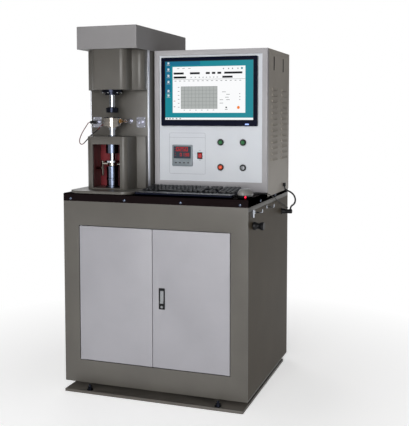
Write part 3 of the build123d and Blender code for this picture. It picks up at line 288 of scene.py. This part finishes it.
def smoothing():
    """Shades flat faces flat and round ones round, by the angle between faces."""
    group = bpy.data.node_groups.new("shade_by_angle", "GeometryNodeTree")
    for direction in ("INPUT", "OUTPUT"):
        group.interface.new_socket("Geometry", in_out=direction, socket_type="NodeSocketGeometry")
    entry, leave = group.nodes.new("NodeGroupInput"), group.nodes.new("NodeGroupOutput")
    faces, edges = (group.nodes.new("GeometryNodeSetShadeSmooth") for _ in range(2))
    edges.domain = "EDGE"
    angle = group.nodes.new("GeometryNodeInputMeshEdgeAngle")
    sharp = group.nodes.new("FunctionNodeCompare")
    sharp.operation = "GREATER_THAN"
    sharp.inputs["B"].default_value = math.radians(28)
    group.links.new(entry.outputs[0], faces.inputs["Geometry"])
    group.links.new(faces.outputs[0], edges.inputs["Geometry"])
    group.links.new(angle.outputs["Unsigned Angle"], sharp.inputs["A"])
    group.links.new(sharp.outputs["Result"], edges.inputs["Selection"])
    edges.inputs["Shade Smooth"].default_value = False
    group.links.new(edges.outputs[0], leave.inputs[0])
    return group


angle_smoothing = smoothing()


def soften(made, bevel):
    """Joins the mesh, rounds its edges by a radius and shades it by angle."""
    made.modifiers.new("join", "WELD").merge_threshold = 0.01 * MM
    if bevel:
        flat = made.modifiers.new("flat", "DECIMATE")
        flat.decimate_type, flat.angle_limit = "DISSOLVE", math.radians(0.3)
        rounding = made.modifiers.new("rounding", "BEVEL")
        rounding.width, rounding.segments = bevel * MM, 2
        rounding.limit_method, rounding.angle_limit = "ANGLE", math.radians(40)
        rounding.use_clamp_overlap = False
        rounding.harden_normals = False
    made.modifiers.new("shading", "NODES").node_group = angle_smoothing


def piece(name, body, finishes, fill, bevel=0.0):
    """A mesh piece on one body that a fill function draws, with rounded edges where it has a bevel."""
    shape = bmesh.new()
    fill(shape)
    bmesh.ops.recalc_face_normals(shape, faces=shape.faces[:])
    mesh = bpy.data.meshes.new(name)
    shape.to_mesh(mesh)
    shape.free()
    mesh.transform(Matrix.Scale(MM, 4))
    for finish in finishes:
        mesh.materials.append(finish)
    mesh.polygons.foreach_set("use_smooth", [True] * len(mesh.polygons))
    made = bpy.data.objects.new(name, mesh)
    bpy.context.scene.collection.objects.link(made)
    soften(made, bevel)
    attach(made, body)


def dress(names, finish, bevel=0.0):
    """Gives CAD nodes their finish and, where it helps, softly rounded edges."""
    for name in names.split():
        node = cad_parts[name]
        node.data.materials.clear()
        node.data.materials.append(finish)
        if "custom_normal" in node.data.attributes:
            node.data.attributes.remove(node.data.attributes["custom_normal"])
        node.data.polygons.foreach_set("use_smooth", [True] * len(node.data.polygons))
        soften(node, bevel)


# Cabinet, its doors and lock

dress("cabinet_frame", cabinet_coat, 0.9)
# Painted shade: the side and rear panels get the darker side coat
dress("side_panels rear_panel", cabinet_side_coat_painted_shade)
dress("left_door right_door", door_coat, 0.8)
dress("worktop", worktop_steel_painted_reflection)
dress("base_plate", plate_enamel, 0.8)
dress("anchor_bolts", black_oxide, 0.4)
dress("drive_unit door_pivots lock_lever lock_button", zinc_plate)
dress("lock_body", matt_black, 0.4)

# Test column, its drive and its loading train

dress("column_foot column_body head_block chamber_housing", column_enamel, 1.0)
dress("motor_bracket", column_enamel, 0.6)
dress("edge_rails", rail_steel, 0.5)
dress("spindle_pulley motor_pulley", zinc_plate)
dress("bearing_cap chuck", black_oxide)
# Painted dark reflection: the loading cylinder and guide bush get the darkened polished steel
dress("loading_cylinder guide_bush", steel_painted_dark_reflection)
dress("spindle_bearings specimen_cup", turned_steel)
dress("spindle loading_ram", chrome)
dress("load_cell", turned_steel, 0.3)
dress("torque_arm", brass)
dress("friction_sensor sensor_sockets", sensor_body)
dress("cord_plugs", matt_black)
dress("drive_motor", motor_enamel, 0.8)
dress("drive_belt", rubber)
dress("belt_cover", cover_coat)

# Console and its controls

dress("console_front_frame", console_coat, 0.6)
# Painted warm light: the console's case and side cover get the warmer side coat
dress("console_case console_side_cover", console_side_coat_painted_warm_light)
dress("control_panel", panel_coat)
dress("monitor_case", gloss_black)
dress("controller_case", instrument_grey, 0.3)
dress("control_bezels", matt_black)
dress("green_button_left green_button_right", green_cap)
dress("lamp_button", lamp_cap)
dress("key_switch", zinc_plate)
dress("rocker_switch", rocker_red, 0.4)

# Keyboard, mouse and the fittings on the cabinet's side

dress("keyboard_case", gloss_black)
dress("keycaps", key_black, 0.5)
dress("mouse_case", mouse_finish())
dress("mouse_wheel", rubber)
dress("regulator_knob", matt_black)
dress("load_regulator", zinc_plate, 0.6)
dress("side_hooks", chrome)
dress("cable_glands", matt_black, 0.4)

# Screws of the apron, the bearing cap and the sensor sockets

apron_left, apron_right, apron_front = -437, 413, -300
apron_screw_height = 851
spindle_x, spindle_y = -269, -148
cap_underside, cap_screw_circle, cap_screws_in_all = 1318, 41, 6
socket_centres, socket_height, socket_face = (-380, -158.5), 1184, -80
socket_screw_across, socket_screw_up = 17, 19


def apron_screws(shape):
    """Domed screws along the worktop's front and both side aprons."""
    domed_head = [(0, 3.4), (2.4, 3.3), (4.6, 2.6), (6.2, 1.3), (6.8, 0), (0, 0)]
    for x in (-402, -142, 118, 378):
        turned(shape, domed_head, pointing((0, -1, 0), (x, apron_front, apron_screw_height)))
    for y in (-108, 152, 380):
        turned(shape, domed_head, pointing((1, 0, 0), (apron_right, y, apron_screw_height)))
        turned(shape, domed_head, pointing((-1, 0, 0), (apron_left, y, apron_screw_height)))


def cap_screws(shape):
    """Socket-head screws in a ring under the bearing cap."""
    socket_head = [(0, 0.6), (1.6, 0.6), (1.6, 3), (3.4, 3), (3.6, 2.6), (3.6, 0), (0, 0)]
    for i in range(cap_screws_in_all):
        angle = math.radians(360 / cap_screws_in_all * i + 30)
        x = spindle_x + cap_screw_circle * math.cos(angle)
        y = spindle_y + cap_screw_circle * math.sin(angle)
        turned(shape, socket_head, pointing((0, 0, -1), (x, y, cap_underside)), 16)


def socket_screws(shape):
    """Corner screws of the two sensor sockets."""
    small_head = [(0, 1.4), (1.5, 1.3), (2.6, 0.8), (3.0, 0), (0, 0)]
    for centre in socket_centres:
        for x in (centre - socket_screw_across, centre + socket_screw_across):
            for z in (socket_height - socket_screw_up, socket_height + socket_screw_up):
                turned(shape, small_head, pointing((0, -1, 0), (x, socket_face, z)), 16)


piece("apron_screws", "machine", [steel_painted_dark_reflection], apron_screws)
piece("cap_screws", "machine", [zinc_plate], cap_screws)
piece("socket_screws", "machine", [chrome], socket_screws)

# Seal of the specimen cup

seal_inside, seal_outside, seal_chamfer = 36.1, 38.3, (0.7, 0.5)
seal_low, seal_top = 1204.1, 1207.9


def cup_seal(shape):
    """Dark seal ring round the cup's rim, chamfered at its outer top edge."""
    section = [(seal_inside, seal_low), (seal_outside, seal_low), (seal_outside, seal_top - seal_chamfer[1]),
               (seal_outside - seal_chamfer[0], seal_top), (seal_inside, seal_top), (seal_inside, seal_low)]
    turned(shape, section, Matrix.Translation((spindle_x, spindle_y, 0)), 48)


piece("cup_seal", "cup", [black_oxide], cup_seal)

# Painted shade of the upright slots in the console's side cover

slot_centres, slot_half = (106, 281), 2.6
shade_edge_x, shade_edge_z = (416, 417), (1419, 1481)
shade_edge_outside, shade_edge_end = 6.5, 1.8
slot_shade_x, slot_shade_half, slot_shade_z = (413.02, 413.4), 2.4, (1421.2, 1478.8)


def slot_shade_strips(shape):
    """Black strips round the two slots and a black sheet behind them: painted shade of the slots' edges and
    hollow inside.
    """
    for y in slot_centres:
        for side in (-1, 1):
            block(shape, shade_edge_x, sorted((y + slot_half * side, y + shade_edge_outside * side)), shade_edge_z)
        for low in (shade_edge_z[0], shade_edge_z[1] - shade_edge_end):
            block(shape, shade_edge_x, (y - slot_half, y + slot_half), (low, low + shade_edge_end))
        block(shape, slot_shade_x, (y - slot_shade_half, y + slot_shade_half), slot_shade_z)


# Painted shade of the slots, in matt black
piece("slot_shade_strips", "machine", [matt_black], slot_shade_strips)

# Red lining of the chamber

lining_x, lining_y, lining_z = (-353, -185), (-200.8, -102.2), (892.2, 1086.8)
lining_sheet = 1.4


def chamber_lining(shape):
    """Painted splash sheets on the chamber's two sides and back."""
    left, right = lining_x[0] + lining_sheet, lining_x[1] - lining_sheet
    for x in ((lining_x[0], left), (right, lining_x[1])):
        block(shape, x, lining_y, lining_z)
    block(shape, (left, right), (lining_y[1] - lining_sheet, lining_y[1]), lining_z)


piece("chamber_lining", "machine", [liner_paint], chamber_lining)

# Monitor picture: a generic measuring window on a plain teal desktop, measured from its lower left corner

screen_left, screen_face, screen_low = -65.5, -15.0, 1195.5
screen_width, screen_height = 418.6, 264.6
layer_step = 0.12
screen_finishes = [
    lit("screen_teal", "#078795", 0.95), lit("screen_blue", "#077091", 0.9),
    lit("screen_white", "#fbfcfd", 0.97), lit("screen_black", "#0a0b10", 0.6),
    lit("screen_grey", "#b4b8b6", 0.9), lit("screen_line", "#767b7b", 0.9),
    lit("screen_orange", "#ef7a1a", 1.0), lit("screen_red", "#c8524c", 0.9)]
teal, blue, white, black, grey, line, orange, red = range(len(screen_finishes))


def patch(shape, x, z, layer, finish):
    """A lit patch on the screen; higher layers lie on top."""
    left, right = screen_left + x[0], screen_left + x[1]
    block(shape, (left, right), (screen_face - layer_step * (layer + 1), screen_face),
          (screen_low + z[0], screen_low + z[1]), finish)


def screen_desktop(shape):
    """Teal desktop with its darker parts, the task bar and the white measuring window."""
    patch(shape, (0.4, screen_width), (0.4, screen_height), 0, teal)
    patch(shape, (0.4, 170), (246, screen_height), 1, blue)
    patch(shape, (0.4, 28), (120, 246), 1, blue)
    patch(shape, (0.4, screen_width), (0.4, 10), 2, white)
    patch(shape, (37, 382), (32, 240), 2, white)


def screen_readings(shape):
    """Black reading fields, and short lines that stand for the window's labels."""
    for start, end in ((42, 91), (121, 168), (197, 216), (226, 242), (252, 270), (284, 368)):
        patch(shape, (start, end), (205.5, 214.5), 3, black)
    for start, end in ((42, 102), (275, 323)):
        patch(shape, (start, end), (187.5, 196.5), 3, black)
    for start in (58, 84, 112):
        patch(shape, (start, start + 12), (231, 233), 3, line)
    for start in (278, 302, 320, 345):
        patch(shape, (start, start + 5), (226, 231), 3, line)
    patch(shape, (362, 370), (225, 233), 3, teal)
    for start in (124, 144, 163, 181, 197, 214, 231, 248):
        patch(shape, (start, start + 6), (190, 193), 3, line)
    patch(shape, (37.5, 381.5), (182, 183.2), 3, line)
    for i in range(15):
        patch(shape, (46 + 22 * i, 55 + 22 * i), (174.5, 177), 3, line)


def screen_graph(shape):
    """Grey graph with its grid and the marks along its two scales."""
    graph_x, graph_z = (77, 252), (50, 151)
    patch(shape, graph_x, graph_z, 3, grey)
    for i in range(11):
        patch(shape, (graph_x[0] + 17.3 * i, graph_x[0] + 0.9 + 17.3 * i), graph_z, 4, line)
    for i in range(7):
        patch(shape, graph_x, (graph_z[0] + 16.6 * i, graph_z[0] + 0.9 + 16.6 * i), 4, line)
    for i in range(6):
        patch(shape, (62, 70), (56 + 18 * i, 58.4 + 18 * i), 3, line)
        patch(shape, (90 + 28 * i, 97 + 28 * i), (43, 45.4), 3, line)
    patch(shape, (42, 50), (84, 86.5), 3, red)
    patch(shape, (42, 50), (58, 60.5), 3, black)


def screen_settings(shape):
    """Lines and small boxes at the graph's right, with the round orange button."""
    for x, z in ((274, 124), (293, 113), (288, 100), (293, 89), (262, 89), (262, 74)):
        patch(shape, (x, x + 17), (z, z + 2.2), 3, line)
    for z in (115, 102, 89):
        patch(shape, (354, 359), (z, z + 3), 3, line)
    patch(shape, (290, 297), (53, 59), 3, black)
    patch(shape, (287, 300), (46, 48.4), 3, line)
    button_at = (screen_left + 350, screen_face, screen_low + 55.5)
    turned(shape, [(0, 0.5), (6.6, 0.5), (6.6, 0), (0, 0)], pointing((0, -1, 0), button_at), 20, orange)


def screen_icons(shape):
    """Column of desktop icons, each over its label, and the buttons of the task bar."""
    for z in (256, 228, 200, 172, 131, 110):
        patch(shape, (12, 20), (z - 3, z + 5), 2, white)
        patch(shape, (13.5, 17), (z, z + 3.5), 3, teal)
        patch(shape, (8, 24), (z - 9, z - 7), 2, grey)
    for start in (6, 20, 34, 52, 70):
        patch(shape, (start, start + 7), (3, 7.5), 3, line)


def screen_picture(shape):
    """The whole picture in lit patches, which stand a little in front of each other."""
    for draw in (screen_desktop, screen_readings, screen_graph, screen_settings, screen_icons):
        draw(shape)


piece("screen_picture", "machine", screen_finishes, screen_picture)

# Marks on the monitor's frame

bezel_face = -18
touch_marks, touch_pitch = 5, 12


def monitor_marks(shape):
    """Row of small touch marks and the lit power mark on the lower bezel, and the line round the screen."""
    for i in range(touch_marks):
        left = 250 + touch_pitch * i
        block(shape, (left, left + 4), (bezel_face - 0.25, bezel_face), (1176, 1177.2), 0)
    outline = rounded_outline((316, 334), (1173.4, 1179), 2.6)
    front, back = ([shape.verts.new((x, y, z)) for x, z in outline] for y in (bezel_face - 0.5, bezel_face))
    shape.faces.new(front).material_index = 1
    walls(shape, front, back, 1)
    outline_line(shape, (-68, 355.5), (1193, 1463), 1.5, 2.2, (bezel_face - 0.2, bezel_face), 0)


piece("monitor_marks", "machine", [matt_black, power_light], monitor_marks)

# Controller face

window_y, figure_y, key_mark_y = (-10.1, -9.5), (-10.4, -10.1), (-12.3, -12)
controller_x = 15
key_pitch = 20
upper_figures, lower_figures = (0, 2, 5, 0), (0, 1, 3, 8)
figure_bars = {0: "abcdef", 1: "bc", 2: "abged", 3: "abgcd", 5: "afgcd", 8: "abcdefg"}


def digit(shape, left, low, width, height, stroke, number):
    """A seven-segment figure in the second finish, with a small gap round each bar."""
    gap = 0.3
    middle, right, top = low + height / 2, left + width, low + height
    left_bar, right_bar = (left, left + stroke), (right - stroke, right)
    bars = {"a": ((left, right), (top - stroke, top)), "b": (right_bar, (middle, top)),
            "c": (right_bar, (low, middle)), "d": ((left, right), (low, low + stroke)),
            "e": (left_bar, (low, middle)), "f": (left_bar, (middle, top)),
            "g": ((left, right), (middle - stroke / 2, middle + stroke / 2))}
    for bar in figure_bars[number]:
        x, z = bars[bar]
        block(shape, (x[0] + gap, x[1] - gap), figure_y, (z[0] + gap, z[1] - gap), 1)


def controller_face(shape):
    """Window, figures, small lamps and key marks of the panel instrument."""
    block(shape, (-26.6, 56.6), window_y, (1018.9, 1074.1), 0)
    for i, (upper, lower) in enumerate(zip(upper_figures, lower_figures)):
        digit(shape, -14 + 15 * i, 1052, 11.5, 19, 3.0, upper)
        digit(shape, 4 + 12 * i, 1029, 9, 15, 2.4, lower)
    for i in range(4):
        block(shape, (-20.5, -18), figure_y, (1030 + 11 * i, 1032.5 + 11 * i), 1)
        x = controller_x + (i - 1.5) * key_pitch
        block(shape, (x - 4.5, x + 4.5), key_mark_y, (997, 1002), 2)


piece("controller_face", "machine", [display_window, digit_red, mark_ink], controller_face)

# Prints on the control panel

print_y = (-3.2, -3)
print_line = 0.9
print_ring = 18.5


def panel_prints(shape):
    """Printed frame round the controller and the rocker, and plain position marks by the controls."""
    frame_x = (-50, 125)
    outline_line(shape, frame_x, (948, 1136), 6, print_line, print_y)
    block(shape, frame_x, print_y, (1114.6, 1114.6 + print_line))
    for z in (1055, 1011):
        block(shape, (97.5, 100.5), print_y, (z, z + 3), 1)
    for x in (198, 303):
        for z in (1095, 982):
            ring_x, ring_z = (x - print_ring, x + print_ring), (z - print_ring, z + print_ring)
            outline_line(shape, ring_x, ring_z, print_ring - 0.1, 0.5, print_y)


piece("panel_prints", "machine", [print_ink, mark_ink], panel_prints)

# Keyboard and mouse

palm_rest_x, palm_rest_y, palm_rest_z = (-108, 328), (-260.5, -204), (884.0, 885.2)
mouse_light_at = (388, -258.6, 879.5)


def palm_rest(shape):
    """Grey palm rest with rounded ends along the keyboard's front."""
    outline = rounded_outline(palm_rest_x, palm_rest_y, 7)
    lower, upper = ([shape.verts.new((a, b, height)) for a, b in outline] for height in palm_rest_z)
    shape.faces.new(lower)
    shape.faces.new(upper)
    walls(shape, lower, upper)


def mouse_light(shape):
    """Small red glow low at the mouse's front."""
    low_dome = [(0, 1.2), (3.5, 1.0), (4.6, 0.4), (4.8, 0), (0, 0)]
    turned(shape, low_dome, pointing((0, -1, 0), mouse_light_at), 20)


piece("palm_rest", "machine", [palm_grey], palm_rest, 0.4)
piece("mouse_light", "machine", [sensor_glow], mouse_light)

# Cords, on the same routes as in the model

sensor_lead_route = [
    (-404, -101, 1184), (-414, -101, 1184), (-424, -103, 1168), (-437, -106, 1148), (-449, -110, 1125),
    (-456, -115, 1100), (-450, -120, 1084), (-434, -125, 1081), (-415, -130, 1096), (-394, -137, 1115),
    (-370, -142, 1134), (-350, -146, 1145), (-336, -148, 1158), (-324, -148, 1173), (-312.8, -148, 1173)]

link_cable_route = [
    (422, 300, 876), (422, 300, 864), (434, 301, 856), (452, 302, 849), (468, 302, 836), (477, 300, 815),
    (474, 293, 793), (455, 288, 781), (455, 288, 768)]

mouse_cord_route = [
    (375, -154, 884), (375, -140, 884), (380, -120, 878), (392, -96, 876), (408, -71, 876.5),
    (423, -40, 873), (428, 2, 864), (425, 52, 854), (423, 106, 839), (421.5, 160, 823), (421, 214, 808),
    (420.5, 268, 794), (420.5, 322, 779), (420, 372, 766), (415, 414, 757), (400, 438, 760), (386, 446, 784),
    (380, 447, 818), (380.5, 446, 852), (380, 442, 882), (380, 430, 905), (380, 416, 905)]


def cord(name, route, diameter, finish):
    """A round cord on one smooth curve that follows its route."""
    curve = bpy.data.curves.new(name, "CURVE")
    curve.dimensions, curve.resolution_u, curve.use_fill_caps = "3D", 8, True
    curve.bevel_depth, curve.bevel_resolution = diameter / 2 * MM, 4
    spline = curve.splines.new("NURBS")
    spline.points.add(len(route) - 1)
    for point, at in zip(spline.points, route):
        point.co = (*[v * MM for v in at], 1)
    spline.order_u = 3
    spline.use_endpoint_u = True
    curve.materials.append(finish)
    made = bpy.data.objects.new(name, curve)
    bpy.context.scene.collection.objects.link(made)
    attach(made, "machine")
    return made


def spline_points(made):
    """Points along a cord's own curve, and its length, in metres."""
    depth, made.data.bevel_depth = made.data.bevel_depth, 0
    bpy.context.view_layer.update()
    bare = bpy.data.meshes.new_from_object(made.evaluated_get(bpy.context.evaluated_depsgraph_get()))
    points = [vertex.co.copy() for vertex in bare.vertices]
    made.data.bevel_depth = depth
    return points, sum((b - a).length for a, b in zip(points, points[1:]))


def lay_cord(name, route, diameter, finish, sleeve=None):
    """A cord that stands for its model tube, which it hides, with an optional sleeve over part of it."""
    made = cord(name + "_line", route, diameter, finish)
    points, length = spline_points(made)
    if sleeve:
        start, end, radius, sleeve_finish = sleeve
        covered = points[int(start * len(points)):int(end * len(points))]
        tube = cord(name + "_sleeve", [point / MM for point in covered], 2 * radius, sleeve_finish)
    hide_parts(name)


# The sleeve covers the lead from about 0.55 to 0.85 of the way along it
lay_cord("sensor_lead", sensor_lead_route, 4, red_sleeve, (0.55, 0.85, 2.4, rubber))
lay_cord("link_cable", link_cable_route, 8, rubber)
lay_cord("mouse_cord", mouse_cord_route[::-1], 3.6, rubber)

# Floor, light and camera, in metres

floor_reach = 40
near_glow = 0.5
shadow_reach = (0.7, 1.7)
room_light = 0.2
plain_white = (1, 1, 1, 1)


def ray_share(tree, *kinds):
    """1 for these kinds of ray and 0 for others."""
    rays = add(tree, "LightPath").outputs
    share = rays[kinds[0]]
    for kind in kinds[1:]:
        share = add(tree, "Math", {"operation": "MAXIMUM"}, _0=share, _1=rays[kind]).outputs[0]
    return share


def floor_finish():
    """Plain pale floor that keeps a soft shadow and looks white to the eye and in reflections."""
    finish, tree, shader = blank("pale_floor")
    seen = ray_share(tree, "Is Camera Ray", "Is Glossy Ray", "Is Transmission Ray")
    glow = add(tree, "Math", {"operation": "MULTIPLY"}, _0=seen, _1=near_glow).outputs[0]
    wire(tree, shader, Base_Color=linear("#e4e4e4"), Roughness=0.9, Emission_Color=plain_white,
         Emission_Strength=glow)
    place = add(tree, "TexCoord").outputs["Object"]
    away = add(tree, "VectorMath", {"operation": "LENGTH"}, _0=place).outputs["Value"]
    near, far = shadow_reach
    fade = add(tree, "MapRange", Value=away, From_Min=near, From_Max=far).outputs["Result"]
    share = add(tree, "Math", {"operation": "MULTIPLY"}, _0=seen, _1=fade).outputs[0]
    white_ground = add(tree, "Emission", Color=plain_white, Strength=1.0)
    mixed = add(tree, "MixShader", _0=share, _1=shader.outputs[0], _2=white_ground.outputs[0])
    wire(tree, tree.nodes["Material Output"], Surface=mixed.outputs[0])
    return finish


def soft_lamp(name, at, target, size, power, tint=(1, 1, 1)):
    """A square lamp that faces a target, with its power in watts."""
    lamp = bpy.data.lights.new(name, "AREA")
    lamp.size, lamp.energy, lamp.color = size, power, tint
    made = bpy.data.objects.new(name, lamp)
    made.location = at
    made.rotation_euler = (Vector(target) - Vector(at)).to_track_quat("-Z", "Y").to_euler()
    bpy.context.scene.collection.objects.link(made)


def plain_room():
    """Even weak light from all round, white to the camera and through glass."""
    world = bpy.data.worlds.new("plain_room")
    world.use_nodes = True
    tree = world.node_tree
    tree.nodes.clear()
    seen = ray_share(tree, "Is Camera Ray", "Is Transmission Ray")
    strength = add(tree, "MapRange", Value=seen, To_Min=room_light, To_Max=1.0).outputs["Result"]
    sky = add(tree, "Background", Color=plain_white, Strength=strength)
    add(tree, "OutputWorld", Surface=sky.outputs[0])
    bpy.context.scene.world = world


floor_corners = [(x * floor_reach, y * floor_reach, 0) for x, y in ((-1, -1), (1, -1), (1, 1), (-1, 1))]
floor_mesh = bpy.data.meshes.new("floor")
floor_mesh.from_pydata(floor_corners, [], [(0, 1, 2, 3)])
floor_mesh.materials.append(floor_finish())
floor = bpy.data.objects.new("floor", floor_mesh)
bpy.context.scene.collection.objects.link(floor)

soft_lamp("front_lamp", (0.7, -4.8, 1.7), (0, 0, 0.9), 2.6, 150)
soft_lamp("right_lamp", (4.4, -0.6, 2.4), (0, 0, 0.8), 2.4, 4, (1.0, 0.86, 0.72))
soft_lamp("rear_lamp", (-2.5, 3.8, 3.2), (0, 0, 1.0), 2.4, 40)
plain_room()

# The camera's place, turn and framing were fitted to the straight edges of the cabinet and the console
camera = bpy.data.cameras.new("camera")
camera.lens = 64.07
camera.shift_x, camera.shift_y = -0.0082, -0.1103
eye = bpy.data.objects.new("camera", camera)
eye.location = (1.25544, -3.25110, 1.21989)
eye.rotation_euler = (math.radians(90 - 3.89), 0, math.radians(18.99))
bpy.context.scene.collection.objects.link(eye)
bpy.context.scene.camera = eye
bpy.context.scene.view_settings.view_transform = "Standard"
